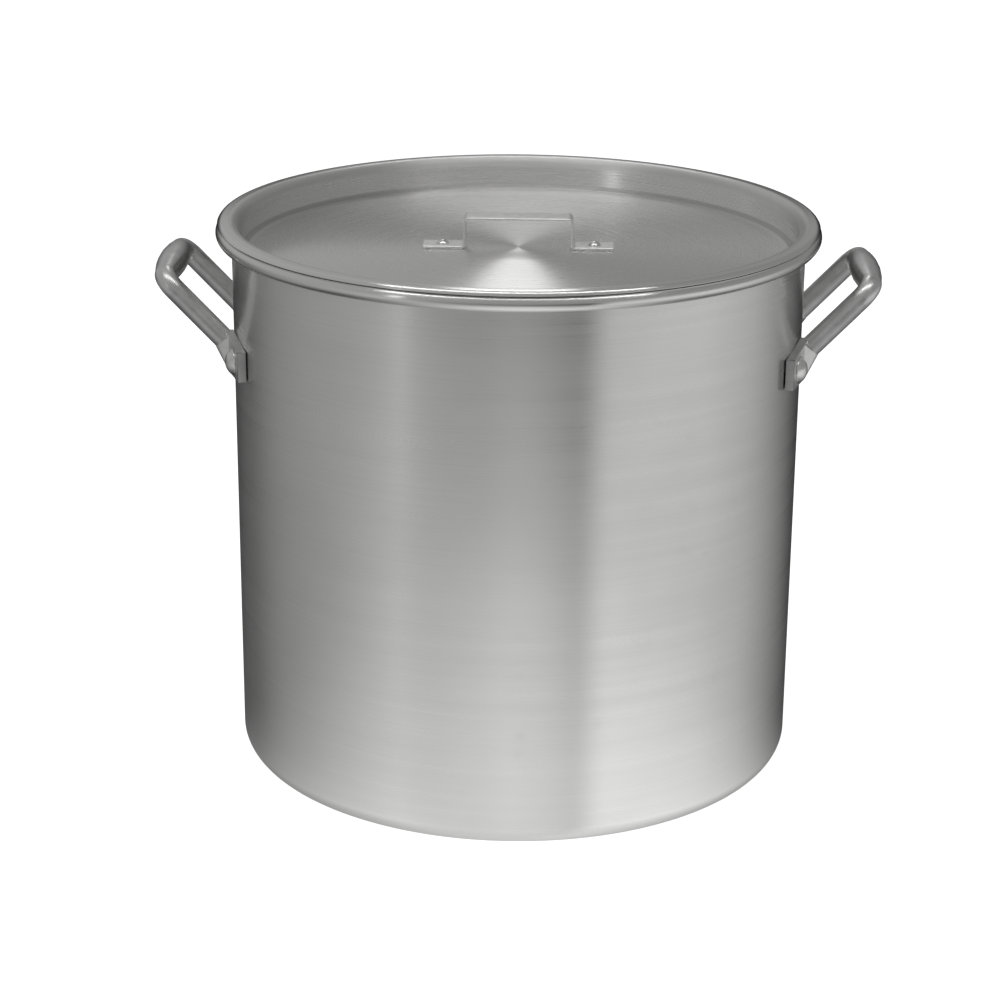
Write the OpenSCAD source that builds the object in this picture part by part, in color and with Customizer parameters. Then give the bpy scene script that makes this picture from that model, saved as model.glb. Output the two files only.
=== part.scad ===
// Brew kettle: a spun aluminium pot with a rolled rim bead, two riveted bar handles,
// and a loose recessed lid with a riveted strap handle.
// Millimetres, Z up. The origin is the middle of the base; the side handles lie along X.

/* [Pot] */
// Outside diameter of the straight wall
pot_diameter = 421; // [380:1:480]
// Height from the base to the top of the rim bead
pot_height = 407; // [340:1:520]
// Thickness of the wall
wall_thickness = 3; // [2.5:0.5:4]
// Thickness of the base
base_thickness = 4; // [3:0.5:8]
// Outside radius of the corner between base and wall
corner_radius = 14; // [8:1:24]

/* [Rim bead] */
// How far the bead stands out from the wall
bead_overhang = 11.5; // [10:0.5:14]
// Height of the bead
bead_height = 11.3; // [10:0.1:13]
// Thickness of the rolled metal in the bead
bead_metal = 2.2; // [1.5:0.1:3]

/* [Side handles] */
// Diameter of the bar in the legs
bar_diameter = 15.6; // [12:0.2:18]
// Diameter in the middle of the swelled grip
grip_diameter = 21.6; // [18:0.2:24]
// Distance between the centre lines of the two legs
leg_spacing = 99; // [90:1:110]
// Centre line radius of the bend from leg to grip
bend_radius = 12; // [10:0.5:16]
// How far the grip's centre line stands out from the wall
grip_reach = 45.5; // [42:0.5:55]
// Height of the grip's centre line above the base
grip_height = 372; // [350:1:380]
// Rise of the legs from level, in degrees
leg_slope = 46.5; // [42:0.5:50]

/* [Handle feet] */
// Height of a flattened foot
foot_height = 22; // [20:0.5:26]
// Thickness of a flattened foot
foot_thickness = 6; // [4:0.5:8]
// Height of a foot's middle above the base
foot_level = 316; // [310:1:320]
// Angle round the wall from the handle's middle to a foot's rivet, in degrees
rivet_angle = 19.5; // [19:0.5:21]

/* [Handle rivets] */
// Diameter of the shank
rivet_shank = 8; // [6:0.5:10]
// Diameter of the domed outer head
rivet_head = 20; // [16:0.5:21]
// Height of the domed outer head
rivet_dome = 5.5; // [4:0.5:7]
// Diameter of the low head inside the pot
rivet_tail = 14; // [12:0.5:18]
// Height of the low head inside the pot
rivet_tail_height = 2.5; // [2:0.5:4]

/* [Lid] */
// Outside diameter of the flange
lid_diameter = 441.4; // [400:0.2:500]
// Thickness of the lid's sheet
lid_metal = 1.6; // [1.2:0.1:2]
// Depth from the top of the flange down to the panel
lid_depth = 23.6; // [18:0.2:30]
// Gap between the flange and the top of the bead
lid_gap = 1.4; // [1.2:0.1:2]
// Lean of the lid's wall from upright, in degrees
lid_lean = 9; // [6:0.5:12]
// Clearance between the lid's wall and the mouth of the pot
lid_clearance = 0.45; // [0.35:0.05:0.8]

/* [Lid handle] */
// Length over the two feet
strap_length = 140; // [120:1:180]
// Distance between the outer faces of the two uprights
strap_grip = 81; // [70:1:110]
// Width of the strip
strap_width = 20; // [16:1:26]
// Thickness of the strip
strap_metal = 2; // [1.5:0.1:3]
// Height of the strap above the panel
strap_rise = 23.5; // [20:0.5:34]
// Distance of a rivet from the lid's middle
strap_rivet_x = 56; // [52:0.5:60]
// Diameter of a lid rivet's shank
lid_rivet_shank = 4; // [3:0.5:5]
// Diameter of a lid rivet's domed head
lid_rivet_head = 9.5; // [8:0.5:12]
// Height of a lid rivet's domed head
lid_rivet_dome = 3; // [2:0.25:4]
// Diameter of a lid rivet's flat head under the panel
lid_rivet_tail = 8; // [6:0.5:12]
// Height of a lid rivet's flat head under the panel
lid_rivet_tail_height = 1.4; // [1:0.1:2]

/* [Hidden] */

$fn = 128;
forge_fn = 24;
bend_steps = 10;

// Gap between faces that are riveted together
seat = 0.05;
// Radial clearance of a rivet's shank in its hole
shank_clearance = 0.1;
// Extra length that carries a cutter past the metal it cuts
over = 1;

pot_r = pot_diameter / 2;
pot_bore_r = pot_r - wall_thickness;
bead_r = bead_height / 2;
bead_z = pot_height - bead_r;
bead_inner_x = pot_bore_r + bead_r;
bead_outer_x = pot_r + bead_overhang - bead_r;
bead_hollow_r = bead_r - bead_metal;
bead_slit = 0.5;

bar_r = bar_diameter / 2;
leg_y = leg_spacing / 2;
grip_x = pot_r + grip_reach;
grip_half = leg_y - bend_radius;
grip_swell = (grip_diameter - bar_diameter) / 2;
grip_arc_r = (grip_half * grip_half + grip_swell * grip_swell) / (2 * grip_swell);

// The foot is flat, and touches the wall only at its rivet, so it has a small gap at its ends.
foot_gap = 0.1;
foot_inner = 24;
foot_outer = 16.5;
foot_face = pot_r + foot_gap + foot_thickness;
// The top edge of the foot climbs towards the leg, and its lower corner there is cut away.
foot_climb = 6.5;
foot_cut = 8;
leg_end = 63;
blend_foot_length = 12;
// The forged stretch starts a little thicker than the bar.
forge_step = 0.3;

rivet_inner_seat = sqrt(pot_bore_r * pot_bore_r - rivet_tail * rivet_tail / 4) - seat;

flange_z = pot_height + lid_gap + lid_metal / 2;
panel_z = flange_z - lid_depth;
panel_top = panel_z + lid_metal / 2;
panel_bend = 3.8;
flange_bend = 4.8;
lip_bend = 3;
lip_turn = 60;
lip_length = 0.8;
lid_wall_x = pot_bore_r - lid_clearance - lid_metal / 2 / cos(lid_lean);

strap_bend = 3;
strap_foot_z = panel_top + seat + strap_metal / 2;
strap_top_z = panel_top + strap_rise - strap_metal / 2;
strap_upright_x = strap_grip / 2 - strap_metal / 2;

pot_colour = [0.72, 0.72, 0.72];
handle_colour = [0.62, 0.62, 0.61];
rivet_colour = [0.78, 0.78, 0.78];
lid_colour = [0.75, 0.75, 0.75];
strap_colour = [0.82, 0.82, 0.82];

// Points along an arc about centre c, from angle a0 to angle a1
function arc(c, r, a0, a1) =
    [for (i = [0:bend_steps]) let (a = a0 + (a1 - a0) * i / bend_steps) c + r * [cos(a), sin(a)]];

// Upright shape with a flat base of radius r and a rounded bottom corner
module can_section(r, corner, top) {
    square([r - corner, top]);
    translate([0, corner]) square([r, top - corner]);
    translate([r - corner, corner]) circle(corner);
}

// A flattened ring section: two round ends joined by a straight band
module bead_section(r) {
    translate([bead_inner_x, bead_z]) circle(r);
    translate([bead_outer_x, bead_z]) circle(r);
    translate([bead_inner_x, bead_z - r]) square([bead_outer_x - bead_inner_x, 2 * r]);
}

module pot_section() {
    difference() {
        union() {
            can_section(pot_r, corner_radius, bead_z);
            bead_section(bead_r);
        }
        translate([0, base_thickness])
            can_section(pot_bore_r, corner_radius - wall_thickness, bead_z - base_thickness + over);
        bead_section(bead_hollow_r);
        // The rolled edge stops just short of the wall.
        translate([pot_r, bead_z - bead_r - over]) square([bead_slit, bead_r + over]);
    }
}

// Places its children at a handle's rivet, with X pointing out through the wall.
// side is 1 for the right handle and -1 for the left; end is 1 or -1 along the grip.
module at_handle_rivet(side, end) {
    rotate([0, 0, (side > 0 ? 0 : 180) + end * rivet_angle]) translate([0, 0, foot_level]) children();
}

module handle_rivet_hole() {
    rotate([0, 90, 0])
        translate([0, 0, pot_bore_r - 2 * over])
            cylinder(h = foot_face - pot_bore_r + 4 * over, r = rivet_shank / 2 + shank_clearance);
}

module pot_body() {
    color(pot_colour)
        difference() {
            rotate_extrude() pot_section();
            for (side = [-1, 1], end = [-1, 1]) at_handle_rivet(side, end) handle_rivet_hole();
        }
}

// Frame of the bent bar: X runs from the grip down a leg, Y along the grip
module in_handle_plane() {
    translate([grip_x, 0, grip_height]) rotate([0, 180 - leg_slope, 0]) children();
}

module grip() {
    rotate([90, 0, 0])
        rotate_extrude()
            intersection() {
                translate([0, -grip_half]) square([grip_diameter, 2 * grip_half]);
                translate([grip_diameter / 2 - grip_arc_r, 0]) circle(grip_arc_r);
            }
}

module bend_and_leg() {
    translate([bend_radius, grip_half, 0])
        rotate([0, 0, 90])
            rotate_extrude(angle = 90) translate([bend_radius, 0]) circle(bar_r);
    translate([bend_radius, leg_y, 0])
        rotate([0, 90, 0]) cylinder(h = leg_end - bend_radius, r = bar_r);
}

// Flat foot, in the frame of its rivet, from the leg out to a given distance past the rivet
module foot(outer) {
    low = -foot_height / 2;
    high = foot_height / 2;
    climb = foot_climb * (foot_outer - outer) / (foot_inner + foot_outer);
    translate([pot_r + foot_gap, 0, 0])
        rotate([90, 0, 90])
            linear_extrude(foot_thickness)
                polygon([
                    [-foot_inner, low + foot_cut],
                    [foot_cut - foot_inner, low],
                    [outer, low],
                    [outer, high + climb],
                    [-foot_inner, high + foot_climb]
                ]);
}

module half_handle() {
    in_handle_plane() bend_and_leg();
    // The bar is forged down from round to flat where it meets the foot.
    hull() {
        in_handle_plane()
            translate([leg_end - over, leg_y, 0])
                rotate([0, 90, 0]) cylinder(h = over, r = bar_r + forge_step, $fn = forge_fn);
        at_handle_rivet(1, 1) foot(blend_foot_length - foot_inner);
    }
    at_handle_rivet(1, 1) foot(foot_outer);
}

module side_handle(side) {
    color(handle_colour)
        rotate([0, 0, side > 0 ? 0 : 180])
            difference() {
                union() {
                    in_handle_plane() grip();
                    for (end = [0, 1]) mirror([0, end, 0]) half_handle();
                }
                for (end = [-1, 1]) at_handle_rivet(1, end) handle_rivet_hole();
            }
}

module left_handle() {
    side_handle(-1);
}

module right_handle() {
    side_handle(1);
}

// Section of a domed head of radius r and height h that rises from y = 0
module dome_section(r, h) {
    ball = (r * r + h * h) / (2 * h);
    intersection() {
        translate([0, h - ball]) circle(ball);
        square([r, h]);
    }
}

module handle_rivet(side, end) {
    color(rivet_colour)
        at_handle_rivet(side, end)
            rotate([0, 90, 0])
                rotate_extrude() {
                    translate([0, foot_face + seat]) dome_section(rivet_head / 2, rivet_dome);
                    translate([0, rivet_inner_seat - over])
                        square([rivet_shank / 2, foot_face + seat + 2 * over - rivet_inner_seat]);
                    translate([0, rivet_inner_seat])
                        mirror([0, 1]) dome_section(rivet_tail / 2, rivet_tail_height);
                }
}

module left_front_rivet() {
    handle_rivet(-1, 1);
}

module left_rear_rivet() {
    handle_rivet(-1, -1);
}

module right_front_rivet() {
    handle_rivet(1, -1);
}

module right_rear_rivet() {
    handle_rivet(1, 1);
}

// Outline of the lid's sheet, from its middle over the panel, wall, flange and lip and back.
// Each bend's centre follows from the straight stretch before it.
module lid_section() {
    rise = 90 - lid_lean;
    wall_foot_z = panel_z + panel_bend * (1 - sin(lid_lean));
    wall_foot_x = lid_wall_x - (bead_z - wall_foot_z) * tan(lid_lean);
    c1 = [wall_foot_x - panel_bend * cos(lid_lean), panel_z + panel_bend];
    wall_length = (flange_z - flange_bend * (1 - sin(lid_lean)) - wall_foot_z) / cos(lid_lean);
    wall_top = [wall_foot_x, wall_foot_z] + wall_length * [sin(lid_lean), cos(lid_lean)];
    c2 = wall_top + flange_bend * [cos(lid_lean), -sin(lid_lean)];
    lip_reach = (lip_bend + lid_metal / 2) * sin(lip_turn) + lip_length * cos(lip_turn);
    c3 = [lid_diameter / 2 - lip_reach, flange_z - lip_bend];
    lip_end = lip_length * [cos(lip_turn), -sin(lip_turn)];
    half = lid_metal / 2;
    top = concat(
        [[0, panel_top]],
        arc(c1, panel_bend - half, -90, -lid_lean),
        arc(c2, flange_bend + half, 90 + rise, 90),
        arc(c3, lip_bend + half, 90, 90 - lip_turn),
        [c3 + (lip_bend + half) * [sin(lip_turn), cos(lip_turn)] + lip_end]
    );
    under = concat(
        [c3 + (lip_bend - half) * [sin(lip_turn), cos(lip_turn)] + lip_end],
        arc(c3, lip_bend - half, 90 - lip_turn, 90),
        arc(c2, flange_bend - half, 90, 90 + rise),
        arc(c1, panel_bend + half, -lid_lean, -90),
        [[0, panel_z - half]]
    );
    polygon(concat(top, under));
}

module lid() {
    color(lid_colour)
        difference() {
            rotate_extrude() lid_section();
            for (x = [-strap_rivet_x, strap_rivet_x])
                translate([x, 0, panel_z - lid_metal])
                    cylinder(h = 2 * lid_metal, r = lid_rivet_shank / 2 + shank_clearance);
        }
}

// Outline of the strap, seen along Y: one half from the grip to the end of a foot and back,
// then the same points mirrored
module strap_section() {
    half = strap_metal / 2;
    c_top = [strap_upright_x - strap_bend, strap_top_z - strap_bend];
    c_foot = [strap_upright_x + strap_bend, strap_foot_z + strap_bend];
    right = concat(
        arc(c_top, strap_bend + half, 90, 0),
        arc(c_foot, strap_bend - half, 180, 270),
        [[strap_length / 2, strap_foot_z + half], [strap_length / 2, strap_foot_z - half]],
        arc(c_foot, strap_bend + half, 270, 180),
        arc(c_top, strap_bend - half, 0, 90)
    );
    left = [for (i = [len(right) - 1:-1:0]) [-right[i].x, right[i].y]];
    polygon(concat(right, left));
}

module lid_handle() {
    color(strap_colour)
        difference() {
            translate([0, strap_width / 2, 0])
                rotate([90, 0, 0]) linear_extrude(strap_width) strap_section();
            for (x = [-strap_rivet_x, strap_rivet_x])
                translate([x, 0, strap_foot_z - strap_metal])
                    cylinder(h = 2 * strap_metal, r = lid_rivet_shank / 2 + shank_clearance);
        }
}

module lid_rivet(x) {
    head_seat = strap_foot_z + strap_metal / 2 + seat;
    tail_seat = panel_z - lid_metal / 2 - seat;
    color(rivet_colour)
        translate([x, 0, 0])
            rotate_extrude() {
                translate([0, head_seat]) dome_section(lid_rivet_head / 2, lid_rivet_dome);
                translate([0, tail_seat - lid_rivet_tail_height])
                    square([lid_rivet_shank / 2, head_seat - tail_seat + lid_rivet_tail_height + over]);
                translate([0, tail_seat - lid_rivet_tail_height])
                    square([lid_rivet_tail / 2, lid_rivet_tail_height]);
            }
}

module lid_left_rivet() {
    lid_rivet(-strap_rivet_x);
}

module lid_right_rivet() {
    lid_rivet(strap_rivet_x);
}

pot_body();
left_handle();
right_handle();
left_front_rivet();
left_rear_rivet();
right_front_rivet();
right_rear_rivet();
lid();
lid_handle();
lid_left_rivet();
lid_right_rivet();
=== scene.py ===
"""Looks for the brew kettle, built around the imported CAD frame. Metres, Z up, front at -Y."""

import math

import bmesh
import bpy
from mathutils import Matrix, Vector


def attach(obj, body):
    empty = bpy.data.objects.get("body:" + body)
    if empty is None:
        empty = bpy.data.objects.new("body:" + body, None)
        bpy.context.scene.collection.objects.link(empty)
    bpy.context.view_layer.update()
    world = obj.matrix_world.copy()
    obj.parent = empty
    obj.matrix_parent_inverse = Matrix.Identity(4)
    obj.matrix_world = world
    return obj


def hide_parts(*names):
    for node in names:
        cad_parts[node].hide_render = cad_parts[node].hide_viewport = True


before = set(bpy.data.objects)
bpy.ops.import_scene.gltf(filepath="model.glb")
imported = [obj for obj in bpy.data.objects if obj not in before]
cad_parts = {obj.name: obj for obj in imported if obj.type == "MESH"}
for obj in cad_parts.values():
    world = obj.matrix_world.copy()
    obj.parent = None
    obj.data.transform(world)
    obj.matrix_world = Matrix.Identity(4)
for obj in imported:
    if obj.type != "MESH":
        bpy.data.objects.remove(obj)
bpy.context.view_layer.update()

MM = 0.001
POT, LID = "pot", "lid"

# ---------------------------------------------------------------- sizes, in millimetres

POT_R, WALL, BASE, CORNER = 210.5, 3.0, 4.0, 14.0
BORE_R = POT_R - WALL
BEAD_TOP, BEAD_R, BEAD_METAL, BEAD_REACH, SLIT = 407.0, 5.65, 2.2, 11.48, 0.5
BEAD_Z = BEAD_TOP - BEAD_R
BEAD_IN, BEAD_OUT = BORE_R + BEAD_R, POT_R + BEAD_REACH - BEAD_R

LID_R, LID_T, LID_DEPTH, LEAN = 220.7, 1.6, 23.6, math.radians(9)
LID_GAP, LID_CLEARANCE = 1.39, 0.45
FLANGE_Z = BEAD_TOP + LID_GAP + LID_T / 2
PANEL_Z = FLANGE_Z - LID_DEPTH
PANEL_TOP = PANEL_Z + LID_T / 2

# A rivet's head or tail, or the strap, lies this far off the face under it.
SEAT = 0.05
FOOT_Z, FOOT_T, FOOT_GAP, RIVET_ANGLE = 316.0, 6.0, 0.1, math.radians(19.5)
HEAD_R, HEAD_H = 10.0, 5.5
HEAD_FACE = POT_R + FOOT_GAP + FOOT_T + SEAT
# The tail's flat face stands off the bore, which curves in towards its rim.
TAIL_R, TAIL_H, TAIL_FACE = 7.0, 2.5, BORE_R - 0.17
LID_HEAD_R, LID_HEAD_H = 4.75, 3.0
LID_TAIL_R, LID_TAIL_H, LID_TAIL_EDGE = 4.0, 1.4, 0.4

STRAP_L, STRAP_GRIP, STRAP_W, STRAP_T, STRAP_RISE = 140.0, 81.0, 20.0, 2.0, 23.5
STRAP_BEND, STRAP_EDGE, STRAP_RIVET_X = 3.0, 0.85, 56.0

# ---------------------------------------------------------------- mesh helpers


def arc(centre, radius, start, end, steps):
    """Points on an arc in a section plane, from one angle to another, in degrees."""
    points = []
    for i in range(steps + 1):
        a = math.radians(start + (end - start) * i / steps)
        points.append((centre[0] + radius * math.cos(a), centre[1] + radius * math.sin(a)))
    return points


def hold(points, near, far):
    """Adds points on the long stretches of an outline: one close to each end, and others no
    further apart than far, so that smooth shading stays flat between the bends."""
    out = []
    for a, b in zip(points, points[1:]):
        out.append(a)
        length = math.dist(a, b)
        if length < 3 * near:
            continue
        inner = [near / length, 1 - near / length]
        count = max(1, math.ceil((length - 2 * near) / far))
        inner += [(near + (length - 2 * near) * i / count) / length for i in range(1, count)]
        out += [(a[0] + (b[0] - a[0]) * t, a[1] + (b[1] - a[1]) * t) for t in sorted(inner)]
    out.append(points[-1])
    return out


def lathe(bm, outline, segments, place=Matrix.Identity(4)):
    """Turns an outline, (radius, height) in millimetres, round the Z axis. A point on the axis
    becomes one vertex, so an outline that starts and ends there makes a closed shape."""
    rings = []
    for r, z in outline:
        if r < 1e-6:
            rings.append([bm.verts.new(place @ Vector((0, 0, z)))])
            continue
        ring = []
        for i in range(segments):
            a = 2 * math.pi * i / segments
            ring.append(bm.verts.new(place @ Vector((r * math.cos(a), r * math.sin(a), z))))
        rings.append(ring)
    for low, high in zip(rings, rings[1:]):
        for i in range(segments):
            j = (i + 1) % segments
            corners = [low[i % len(low)], low[j % len(low)], high[j % len(high)], high[i % len(high)]]
            bm.faces.new(list(dict.fromkeys(corners)))


def make(name, bm, body, node, material):
    """Turns a bmesh in millimetres into a piece in metres that rides on a body and takes the
    place of a CAD node."""
    bmesh.ops.scale(bm, vec=(MM, MM, MM), verts=bm.verts)
    bmesh.ops.recalc_face_normals(bm, faces=bm.faces)
    mesh = bpy.data.meshes.new(name)
    bm.to_mesh(mesh)
    bm.free()
    mesh.shade_smooth()
    obj = bpy.data.objects.new(name, mesh)
    bpy.context.scene.collection.objects.link(obj)
    mesh.materials.append(material)
    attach(obj, body)
    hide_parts(node)
    return obj


# ---------------------------------------------------------------- node helpers

# What a span of values is carried over to, where it isn't from 0 to 1
FALLING = (1.0, 0.0)


class Nodes:
    """A short way to write node trees. Most values can be a number or a socket."""

    def __init__(self, tree):
        self.tree = tree

    def add(self, kind, **settings):
        node = self.tree.nodes.new(kind)
        for key, value in settings.items():
            setattr(node, key, value)
        return node

    def link(self, source, target):
        self.tree.links.new(source, target)

    def feed(self, value, socket):
        if isinstance(value, (int, float)):
            socket.default_value = value
        else:
            self.link(value, socket)

    def math(self, operation, *values):
        node = self.add("ShaderNodeMath", operation=operation)
        for value, socket in zip(values, node.inputs):
            self.feed(value, socket)
        return node.outputs[0]

    def plus(self, a, b):
        return self.math("ADD", a, b)

    def minus(self, a, b):
        return self.math("SUBTRACT", a, b)

    def times(self, a, b):
        return self.math("MULTIPLY", a, b)

    def xyz(self, *values):
        node = self.add("ShaderNodeCombineXYZ")
        for value, socket in zip(values, node.inputs):
            self.feed(value, socket)
        return node.outputs[0]

    def split(self, vector):
        node = self.add("ShaderNodeSeparateXYZ")
        self.link(vector, node.inputs[0])
        return node.outputs

    def noise(self, vector, scale, detail, rough=0.5):
        node = self.add("ShaderNodeTexNoise")
        self.link(vector, node.inputs["Vector"])
        node.inputs["Scale"].default_value = scale
        node.inputs["Detail"].default_value = detail
        node.inputs["Roughness"].default_value = rough
        return node.outputs["Fac"]

    def map(self, value, span, to=(0.0, 1.0)):
        """Carries one span of values over to another, and holds its ends beyond it."""
        node = self.add("ShaderNodeMapRange", clamp=True)
        self.link(value, node.inputs["Value"])
        for key, v in zip(("From Min", "From Max", "To Min", "To Max"), (*span, *to)):
            node.inputs[key].default_value = v
        return node.outputs["Result"]

    def mix(self, factor, a, b):
        node = self.add("ShaderNodeMix", data_type="FLOAT")
        for key, value in zip((0, 2, 3), (factor, a, b)):
            self.feed(value, node.inputs[key])
        return node.outputs[0]

    def tint(self, factor, dark, light):
        node = self.add("ShaderNodeMix", data_type="RGBA")
        self.link(factor, node.inputs[0])
        node.inputs[6].default_value = (*dark, 1)
        node.inputs[7].default_value = (*light, 1)
        return node.outputs[2]

    def shadow(self, colour, factor, depth):
        """Multiplies a colour by a depth where the factor is 1."""
        node = self.add("ShaderNodeMix", data_type="RGBA", blend_type="MULTIPLY")
        self.link(factor, node.inputs[0])
        self.link(colour, node.inputs[6])
        node.inputs[7].default_value = (depth, depth, depth, 1)
        return node.outputs[2]

    def bump(self, height, strength, distance, normal=None):
        node = self.add("ShaderNodeBump")
        node.inputs["Strength"].default_value = strength
        node.inputs["Distance"].default_value = distance
        self.link(height, node.inputs["Height"])
        if normal:
            self.link(normal, node.inputs["Normal"])
        return node.outputs[0]

    def ramp(self, value, stops):
        """Grey levels at given positions, with straight lines between them."""
        node = self.add("ShaderNodeValToRGB")
        node.color_ramp.interpolation = "LINEAR"
        elements = node.color_ramp.elements
        elements.remove(elements[1])
        for i, (position, level) in enumerate(stops):
            element = elements.new(position) if i else elements[0]
            element.position = position
            element.color = (level, level, level, 1)
        self.link(value, node.inputs[0])
        return node.outputs["Color"]


def new_material(name):
    mat = bpy.data.materials.new(name)
    mat.use_nodes = True
    return mat, Nodes(mat.node_tree), mat.node_tree.nodes["Principled BSDF"]


def shades(tone, darker, lighter):
    """A tone made darker and lighter by given shares, for a mottled colour."""
    return tuple(c * (1 - darker) for c in tone), tuple(min(1.0, c * (1 + lighter)) for c in tone)


def stretch(low, high):
    """A stretch of radius or height, from millimetres to metres."""
    return low * MM, high * MM


# ---------------------------------------------------------------- spun metal

# The rolled edges lie above this height, and are burnished beyond a radius given with each metal.
ROLLED_EDGE_Z = stretch(394, 395)
BURNISHING = 0.09

# Painted shade: a dark line is multiplied into the colour in the tight bend at the edge of the lid's
# panel, where shade falls in the crease.
PANEL_BEND_R, PANEL_BEND_Z, PANEL_BEND_PAINTED_SHADE = stretch(199, 201), stretch(388, 389.5), 0.72

# The bends at the foot and top of the lid's wall are rubbed duller than the rest.
RUBBED_FROM_R, RUBBED_TO_R = stretch(198.5, 200), stretch(208.5, 210.5)
WALL_FOOT_Z, WALL_TOP_Z = stretch(388.5, 389.5), stretch(402, 404)
RUBBING = 0.2

# The spinning leaves the panel very slightly domed and the flange falling outwards, which shows
# only in their reflections. The middle of the dome is rounded off.
DOME_SLOPE = math.tan(math.radians(9))
DOME_MIDDLE, DOME_END, FALL_START = 20 * MM, 197 * MM, 212.5 * MM


def lid_finish(n, radius, z, colour, rough):
    """The lid's colour with a painted shade line in the panel's bend, and its own roughness and
    normal, on top of what spun metal has.
    """
    # Painted shade in the crease of the panel's bend, not a colour of the metal.
    painted_bend_shade = n.times(n.map(radius, PANEL_BEND_R), n.map(z, PANEL_BEND_Z, FALLING))
    colour = n.shadow(colour, painted_bend_shade, PANEL_BEND_PAINTED_SHADE)
    rubbed = n.times(n.map(radius, RUBBED_FROM_R), n.map(radius, RUBBED_TO_R, FALLING))
    bends = n.plus(n.map(z, WALL_FOOT_Z, FALLING), n.map(z, WALL_TOP_Z))
    rough = n.plus(rough, n.times(n.times(rubbed, bends), RUBBING))
    rounded = n.math("SQRT", n.plus(n.times(radius, radius), DOME_MIDDLE**2))
    fall = n.plus(
        n.math("MINIMUM", rounded, DOME_END),
        n.math("MAXIMUM", n.minus(radius, FALL_START), 0.0),
    )
    return colour, rough, n.bump(n.times(fall, -1), 1.0, DOME_SLOPE)


def spun_aluminium(name, tone, roughness, anisotropy, line_depth, contrast, burnished, is_lid=False):
    """Aluminium with the fine lines of a lathe: along z on a wall and along the radius on a
    panel. The grain also draws highlights out across the lines."""
    mat, n, shader = new_material(name)
    coords = n.add("ShaderNodeTexCoord").outputs["Object"]
    x, y, z = n.split(coords)
    radius = n.math("SQRT", n.plus(n.times(x, x), n.times(y, y)))
    facing = n.split(n.add("ShaderNodeNewGeometry").outputs["Normal"])
    flatness = n.map(n.math("ABSOLUTE", facing[2]), (0.3, 0.8))
    across = n.mix(flatness, z, radius)

    def lines(pitch, along):
        """Lines a given pitch apart, with waves of a given number per metre along them."""
        vector = n.xyz(n.times(x, along), n.times(y, along), n.math("DIVIDE", across, pitch))
        return n.noise(vector, 1.0, 3.0, 0.55)

    fine = lines(0.6 * MM, 5.0)
    broad = lines(9 * MM, 1.5)
    clouds = n.noise(coords, 9.0, 3.0)
    scuffs = n.noise(coords, 55.0, 4.0, 0.65)
    dark, light = shades(tone, 0.07 * contrast, 0.03 * contrast)
    mottle = n.plus(n.times(fine, 0.5), n.times(clouds, 0.5))
    colour = n.tint(n.map(mottle, (0.35, 0.65)), dark, light)
    rough = n.plus(n.map(fine, (0.3, 0.7), (-0.025, 0.025)), roughness)
    rough = n.plus(rough, n.map(broad, (0.3, 0.7), (-0.02 * contrast, 0.02 * contrast)))
    rough = n.plus(rough, n.map(scuffs, (0.62, 0.8), (0.0, 0.05 * contrast)))
    edge = n.times(n.map(radius, stretch(burnished, burnished + 1)), n.map(z, ROLLED_EDGE_Z))
    rough = n.minus(rough, n.times(edge, BURNISHING))
    normal = None
    if is_lid:
        colour, rough, normal = lid_finish(n, radius, z, colour, rough)
    n.link(colour, shader.inputs["Base Color"])
    n.link(rough, shader.inputs["Roughness"])
    n.link(n.bump(fine, line_depth, 0.04 * MM, normal), shader.inputs["Normal"])
    tangent = n.add("ShaderNodeTangent", direction_type="RADIAL", axis="Z")
    n.link(tangent.outputs[0], shader.inputs["Tangent"])
    shader.inputs["Metallic"].default_value = 1.0
    shader.inputs["Anisotropic"].default_value = anisotropy
    # A quarter turn lays the stretch of the highlights across the lines.
    shader.inputs["Anisotropic Rotation"].default_value = 0.25
    return mat


# ---------------------------------------------------------------- pressed metal

# The cut ends of a side handle's bar lie beyond this distance along Y, and are darker.
CUT_END_Y, CUT_END_SHADOW = stretch(85.6, 85.8), 0.66
EDGE_WEAR = 0.6 * MM


def pressed_aluminium(name, tone, roughness, worn_edges=True, cut_ends=False):
    """Forged or pressed aluminium, tumbled dull: a soft pebbling, small dents and scuffs."""
    mat, n, shader = new_material(name)
    coords = n.add("ShaderNodeTexCoord").outputs["Object"]
    pebbles = n.noise(coords, 1 / (1.2 * MM), 3.0, 0.6)
    waves = n.noise(coords, 60.0, 2.0)
    scuffs = n.noise(coords, 160.0, 5.0, 0.7)
    patches = n.noise(coords, 45.0, 2.0, 0.6)
    dark, light = shades(tone, 0.16, 0.04)
    mottle = n.plus(n.times(scuffs, 0.5), n.times(patches, 0.5))
    colour = n.tint(n.map(mottle, (0.36, 0.62)), dark, light)
    if cut_ends:
        ends = n.map(n.math("ABSOLUTE", n.split(coords)[1]), CUT_END_Y)
        colour = n.shadow(colour, ends, CUT_END_SHADOW)
    normal = None
    if worn_edges:
        bevel = n.add("ShaderNodeBevel", samples=6)
        bevel.inputs["Radius"].default_value = EDGE_WEAR
        normal = bevel.outputs[0]
    rough = n.plus(n.map(scuffs, (0.35, 0.75), (-0.04, 0.06)), roughness)
    dents = n.plus(n.times(pebbles, 0.4), waves)
    n.link(colour, shader.inputs["Base Color"])
    n.link(rough, shader.inputs["Roughness"])
    n.link(n.bump(dents, 0.3, 0.15 * MM, normal), shader.inputs["Normal"])
    shader.inputs["Metallic"].default_value = 1.0
    return mat


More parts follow.
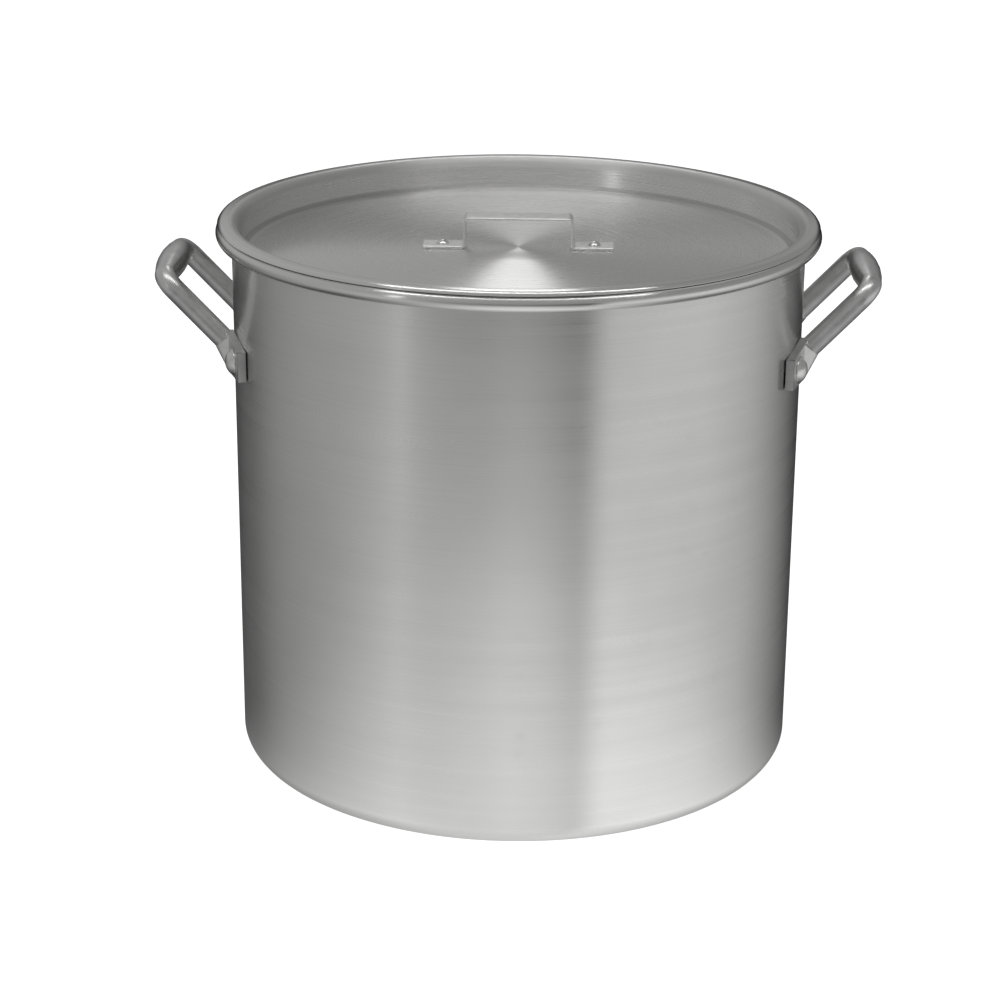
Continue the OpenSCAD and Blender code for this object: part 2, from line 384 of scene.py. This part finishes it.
pot_metal = spun_aluminium(
    "spun_aluminium",
    tone=(0.78, 0.78, 0.77),
    roughness=0.3,
    anisotropy=0.88,
    line_depth=0.25,
    contrast=1.0,
    burnished=211.5,
)
lid_metal = spun_aluminium(
    "lid_aluminium",
    tone=(0.79, 0.79, 0.78),
    roughness=0.28,
    anisotropy=0.9,
    line_depth=0.035,
    contrast=0.25,
    burnished=212.5,
    is_lid=True,
)
handle_metal = pressed_aluminium("handle_aluminium", (0.72, 0.72, 0.715), 0.34, cut_ends=True)
rivet_metal = pressed_aluminium("rivet_aluminium", (0.80, 0.80, 0.79), 0.27)
strap_metal = pressed_aluminium("strap_aluminium", (0.95, 0.95, 0.94), 0.38, worn_edges=False)

# ---------------------------------------------------------------- pot

AROUND = 288


def pot_outline():
    """The wall and base from outside to inside, by way of the hollow rolled bead."""
    hollow = BEAD_R - BEAD_METAL
    at_wall = math.degrees(math.acos((BEAD_IN - POT_R) / hollow))
    at_edge = math.degrees(math.acos((BEAD_IN - POT_R - SLIT) / BEAD_R))
    at_edge_in = math.degrees(math.acos((BEAD_IN - POT_R - SLIT) / hollow))
    outside = [(0, 0)] + arc((POT_R - CORNER, CORNER), CORNER, -90, 0, 16)
    roll = (
        arc((BEAD_IN, BEAD_Z), hollow, 180 + at_wall, 90, 14)
        + arc((BEAD_OUT, BEAD_Z), hollow, 90, -90, 16)
        + arc((BEAD_IN, BEAD_Z), hollow, 270, 180 + at_edge_in, 4)
        + arc((BEAD_IN, BEAD_Z), BEAD_R, 180 + at_edge, 270, 4)
        + arc((BEAD_OUT, BEAD_Z), BEAD_R, -90, 90, 24)
        + arc((BEAD_IN, BEAD_Z), BEAD_R, 90, 180, 14)
    )
    inner = CORNER - WALL
    inside = arc((BORE_R - inner, BASE + inner), inner, 0, -90, 14) + [(0, BASE)]
    return hold(outside + roll + inside, near=0.4, far=45)


bm = bmesh.new()
lathe(bm, pot_outline(), AROUND)
make("pot_body_shell", bm, POT, "pot_body", pot_metal)

# ---------------------------------------------------------------- lid


def lid_outline():
    """The panel, wall, flange and turned-down lip, along the top and back underneath."""
    half, panel_bend, flange_bend = LID_T / 2, 3.8, 4.8
    lip_bend, lip_turn, lip_length = 3.0, 60, 0.8
    sin, cos, tan = math.sin(LEAN), math.cos(LEAN), math.tan(LEAN)
    lean = math.degrees(LEAN)
    wall_x = BORE_R - LID_CLEARANCE - half / cos
    foot_z = PANEL_Z + panel_bend * (1 - sin)
    foot_x = wall_x - (BEAD_Z - foot_z) * tan
    at_panel = (foot_x - panel_bend * cos, PANEL_Z + panel_bend)
    rise = (FLANGE_Z - flange_bend * (1 - sin) - foot_z) / cos
    at_flange = (foot_x + rise * sin + flange_bend * cos, foot_z + rise * cos - flange_bend * sin)
    turn = math.radians(lip_turn)
    reach = (lip_bend + half) * math.sin(turn) + lip_length * math.cos(turn)
    at_lip = (LID_R - reach, FLANGE_Z - lip_bend)

    def lip_end(r):
        return (
            at_lip[0] + r * math.sin(turn) + lip_length * math.cos(turn),
            at_lip[1] + r * math.cos(turn) - lip_length * math.sin(turn),
        )

    top = (
        [(0, PANEL_TOP)]
        + arc(at_panel, panel_bend - half, -90, -lean, 10)
        + arc(at_flange, flange_bend + half, 180 - lean, 90, 14)
        + arc(at_lip, lip_bend + half, 90, 90 - lip_turn, 10)
    )
    edge = [lip_end(lip_bend + half), lip_end(lip_bend - half)]
    under = (
        arc(at_lip, lip_bend - half, 90 - lip_turn, 90, 8)
        + arc(at_flange, flange_bend - half, 90, 180 - lean, 10)
        + arc(at_panel, panel_bend + half, -lean, -90, 10)
        + [(0, PANEL_Z - half)]
    )
    return hold(top + edge + under, near=0.25, far=30)


bm = bmesh.new()
lathe(bm, lid_outline(), AROUND)
make("lid_pan", bm, LID, "lid", lid_metal)

# ---------------------------------------------------------------- rivets


def domed(radius, height):
    """A domed head's outline, from its top down to its rim and in to the axis."""
    ball = (radius * radius + height * height) / (2 * height)
    reach = math.degrees(math.asin(min(1, radius / ball)))
    rim = arc((0, height - ball), ball, 90, 90 - reach, 12)
    return [(0.0, height)] + rim[1:] + [(0.0, 0.0)]


def flat_tail(radius, height, edge):
    """A flat head's outline, with its rim rounded."""
    return [(0, height)] + arc((radius - edge, height - edge), edge, 90, 0, 4) + [(radius, 0), (0, 0)]


def at_handle_rivet(side, end):
    """From a rivet's own frame, with Z along its shank and out of the wall, to the pot's."""
    turn = (0 if side > 0 else math.pi) + end * RIVET_ANGLE
    to_wall = Matrix.Rotation(turn, 4, "Z") @ Matrix.Translation((0, 0, FOOT_Z))
    return to_wall @ Matrix.Rotation(math.pi / 2, 4, "Y")


def turned_over(x, height):
    """Turns a head over, so that it points down from a height on its axis."""
    return Matrix.Translation((x, 0, height)) @ Matrix.Rotation(math.pi, 4, "X")


for name, side, end in (
    ("left_front", -1, 1),
    ("left_rear", -1, -1),
    ("right_front", 1, -1),
    ("right_rear", 1, 1),
):
    bm = bmesh.new()
    place = at_handle_rivet(side, end)
    lathe(bm, domed(HEAD_R, HEAD_H), 64, place @ Matrix.Translation((0, 0, HEAD_FACE)))
    lathe(bm, domed(TAIL_R, TAIL_H), 48, place @ turned_over(0, TAIL_FACE))
    make(name + "_rivet_heads", bm, POT, name + "_rivet", rivet_metal)

for name, x in (("lid_left", -STRAP_RIVET_X), ("lid_right", STRAP_RIVET_X)):
    bm = bmesh.new()
    over = Matrix.Translation((x, 0, PANEL_TOP + SEAT + STRAP_T + SEAT))
    under = turned_over(x, PANEL_Z - LID_T / 2 - SEAT)
    lathe(bm, domed(LID_HEAD_R, LID_HEAD_H), 48, over)
    lathe(bm, flat_tail(LID_TAIL_R, LID_TAIL_H, LID_TAIL_EDGE), 48, under)
    make(name + "_rivet_heads", bm, LID, name + "_rivet", rivet_metal)

# ---------------------------------------------------------------- strap


def strap_outline(inset):
    """The strap's two long faces seen along Y, left to right and back, drawn in by a little."""
    half = STRAP_T / 2 - inset
    foot_z = PANEL_TOP + SEAT + STRAP_T / 2
    top_z = PANEL_TOP + STRAP_RISE - STRAP_T / 2
    upright_x = STRAP_GRIP / 2 - STRAP_T / 2
    faces = []
    for out in (half, -half):
        face = (
            [(0, top_z + out)]
            + arc((upright_x - STRAP_BEND, top_z - STRAP_BEND), STRAP_BEND + out, 90, 0, 8)
            + arc((upright_x + STRAP_BEND, foot_z + STRAP_BEND), STRAP_BEND - out, 180, 270, 8)
            + [(STRAP_L / 2 - inset, foot_z + out)]
        )
        face = hold(face, near=1.2, far=STRAP_L)
        faces.append([(-x, z) for x, z in reversed(face[1:])] + face)
    return faces[0] + faces[1][::-1]


def strap_stations():
    """How far the outline is drawn in, and where along Y, from the front edge to the back."""
    half = STRAP_W / 2
    front = []
    for angle in (90, 67.5, 45, 22.5, 0):
        a = math.radians(angle)
        front.append((STRAP_EDGE * (1 - math.cos(a)), STRAP_EDGE * (1 - math.sin(a)) - half))
    # One more, close behind, keeps the shading flat from there on.
    front.append((0, STRAP_EDGE + 0.3 - half))
    return front + [(inset, -y) for inset, y in reversed(front)]


bm = bmesh.new()
rings = []
for inset, y in strap_stations():
    rings.append([bm.verts.new((x, y, z)) for x, z in strap_outline(inset)])
count = len(rings[0])
for near, far in zip(rings, rings[1:]):
    for i in range(count):
        j = (i + 1) % count
        bm.faces.new((near[i], near[j], far[j], far[i]))
for ring in (rings[0], rings[-1]):
    for i in range(count // 2 - 1):
        bm.faces.new((ring[i], ring[i + 1], ring[count - 2 - i], ring[count - 1 - i]))
strap = make("lid_strap", bm, LID, "lid_handle", strap_metal)
strap.data.set_sharp_from_angle(angle=math.radians(50))
# It lies so close over the panel that its shadow would cut the lid's highlight in two.
strap.visible_shadow = False

# ---------------------------------------------------------------- side handles, as in the CAD

for node in ("left_handle", "right_handle"):
    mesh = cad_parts[node].data
    mesh.materials.clear()
    mesh.materials.append(handle_metal)

# ---------------------------------------------------------------- studio

scene = bpy.context.scene
scene.view_settings.view_transform = "Standard"


def stage(name, mesh, z, material):
    """Puts a piece of the studio in the scene, level, at a height in metres."""
    obj = bpy.data.objects.new(name, mesh)
    obj.location.z = z
    scene.collection.objects.link(obj)
    mesh.materials.append(material)
    obj.visible_diffuse = False
    obj.visible_shadow = False
    return obj


def floor_white():
    mat, _, shader = new_material("floor_white")
    shader.inputs["Base Color"].default_value = (0.8, 0.8, 0.8, 1)
    shader.inputs["Roughness"].default_value = 0.9
    shader.inputs["Emission Color"].default_value = (1, 1, 1, 1)
    shader.inputs["Emission Strength"].default_value = 0.85
    return mat


mesh = bpy.data.meshes.new("floor")
bm = bmesh.new()
bmesh.ops.create_circle(bm, cap_ends=True, radius=14, segments=96)
bm.to_mesh(mesh)
bm.free()
floor = stage("floor", mesh, -0.0005, floor_white())
floor.visible_glossy = False

GLOW_REACH, GLOW_FRONT, GLOW_BACK = 1.2, -1.8, 0.15
GLOW_MIDDLE, GLOW_SPREAD = 0.03, 0.32


def floor_glow():
    """A glow that is strongest in the middle and next to the pot, and doesn't hide what lies
    behind it."""
    mat, n, shader = new_material("floor_glow")
    n.tree.nodes.remove(shader)
    x, y, _ = n.split(n.add("ShaderNodeTexCoord").outputs["Object"])
    aside = n.math("DIVIDE", n.minus(x, GLOW_MIDDLE), GLOW_SPREAD)
    across = n.math("DIVIDE", 1.0, n.plus(n.times(aside, aside), 1.0))
    along = n.math("POWER", n.map(y, (-1.5, -0.2)), 0.9)
    ahead = n.minus(n.times(n.math("ABSOLUTE", x), -0.9), y)
    ahead = n.map(ahead, (-0.25, 0.35))
    shine = n.add("ShaderNodeEmission")
    n.link(n.times(n.times(across, along), n.times(ahead, 0.98)), shine.inputs["Strength"])
    both = n.add("ShaderNodeAddShader")
    n.link(shine.outputs[0], both.inputs[0])
    n.link(n.add("ShaderNodeBsdfTransparent").outputs[0], both.inputs[1])
    n.link(both.outputs[0], n.tree.nodes["Material Output"].inputs["Surface"])
    return mat


# A glow just under the floor in front of the pot, seen only in reflections: it lights the lower
# wall, most of all in the middle.
mesh = bpy.data.meshes.new("floor_glow")
corners = [
    (-GLOW_REACH, GLOW_FRONT, 0),
    (GLOW_REACH, GLOW_FRONT, 0),
    (GLOW_REACH, GLOW_BACK, 0),
    (-GLOW_REACH, GLOW_BACK, 0),
]
mesh.from_pydata(corners, [], [(0, 1, 2, 3)])
glow = stage("floor_glow", mesh, -0.002, floor_glow())
glow.visible_camera = False

# Brightness of the room below eye level, by degrees round from behind the object by its left
# (-90), the camera (0) and its right (90).
BELOW = [
    # dark behind
    (-160, 0.09),
    (-135, 0.10),
    # a broad light on the left
    (-110, 0.27),
    (-50, 0.50),
    (-30, 0.28),
    # a dim gap behind the camera, that ends in a sharp dark edge
    (-12, 0.15),
    (20, 0.10),
    (27, 0.05),
    # a broader and stronger light on the right
    (37, 0.62),
    (60, 0.75),
    (80, 0.74),
    (105, 0.57),
    (142, 0.15),
    # dark behind
    (160, 0.09),
]
# The same above eye level: a grey that is lighter on the left than on the right.
ABOVE = [
    (-180, 0.33),
    (-158, 0.42),
    (-108, 0.41),
    (0, 0.33),
    (108, 0.27),
    (158, 0.26),
    (180, 0.33),
]


def room(n):
    """The brightness of the room in every direction."""
    x, y, z = n.split(n.add("ShaderNodeTexCoord").outputs["Generated"])
    azimuth = n.math("ARCTAN2", x, n.times(y, -1))
    turn = n.plus(n.math("DIVIDE", azimuth, 2 * math.pi), 0.5)
    below = n.ramp(turn, [(0.5 + degrees / 360, level) for degrees, level in BELOW])
    above = n.ramp(turn, [(0.5 + degrees / 360, level) for degrees, level in ABOVE])
    # It gets darker towards straight down.
    below = n.times(below, n.map(z, (-0.75, -0.5), (0.35, 1.0)))
    level = n.mix(n.map(z, (-0.06, 0.04)), below, above)
    # Low down behind the object it is dark.
    rear = n.times(n.map(y, (0.75, 0.93), (0.0, 0.8)), n.map(z, (0.06, 0.2), FALLING))
    return n.times(level, n.minus(1.0, rear))


world = bpy.data.worlds.new("studio")
scene.world = world
world.use_nodes = True
n = Nodes(world.node_tree)
background = world.node_tree.nodes["Background"]
n.link(room(n), background.inputs[0])
# The camera itself sees a plain white behind the object.
white = n.add("ShaderNodeBackground")
white.inputs[0].default_value = (1, 1, 1, 1)
choose = n.add("ShaderNodeMixShader")
n.link(n.add("ShaderNodeLightPath").outputs["Is Camera Ray"], choose.inputs[0])
n.link(background.outputs[0], choose.inputs[1])
n.link(white.outputs[0], choose.inputs[2])
n.link(choose.outputs[0], world.node_tree.nodes["World Output"].inputs[0])


POT_MOUTH = Vector((0, 0, 0.4))


def softbox(name, location, size, power):
    """A rectangular light that faces the mouth of the pot."""
    light = bpy.data.lights.new(name, "AREA")
    light.shape = "RECTANGLE"
    light.size, light.size_y = size
    light.energy = power
    obj = bpy.data.objects.new(name, light)
    obj.location = location
    obj.rotation_mode = "QUATERNION"
    obj.rotation_quaternion = (POT_MOUTH - obj.location).to_track_quat("-Z", "Y")
    scene.collection.objects.link(obj)


# Over the front of the pot, for the bead and the flange
softbox("overhead", (0.0, -0.5, 1.9), (2.2, 0.3), 6.6)
# High behind, for the fan on the lid
softbox("rear_top", (-0.03, 1.2, 1.6), (0.3, 0.5), 1.0)
# A narrow one at the front left, for the thin highlights there
softbox("left_strip", (-1.34, -1.49, 0.75), (0.16, 0.8), 0.42)

# ---------------------------------------------------------------- camera

camera = bpy.data.cameras.new("camera")
camera.sensor_width = 36
camera.lens = 91.5
camera.clip_end = 100
eye = bpy.data.objects.new("camera", camera)
eye.location = (0.0298, -1.8298, 0.8374)
target = Vector((-0.0121, -0.0004, 0.1879))
roll = Matrix.Rotation(math.radians(0.453), 4, "Z").to_quaternion()
eye.rotation_mode = "QUATERNION"
eye.rotation_quaternion = (target - eye.location).to_track_quat("-Z", "Y") @ roll
scene.collection.objects.link(eye)
scene.camera = eye
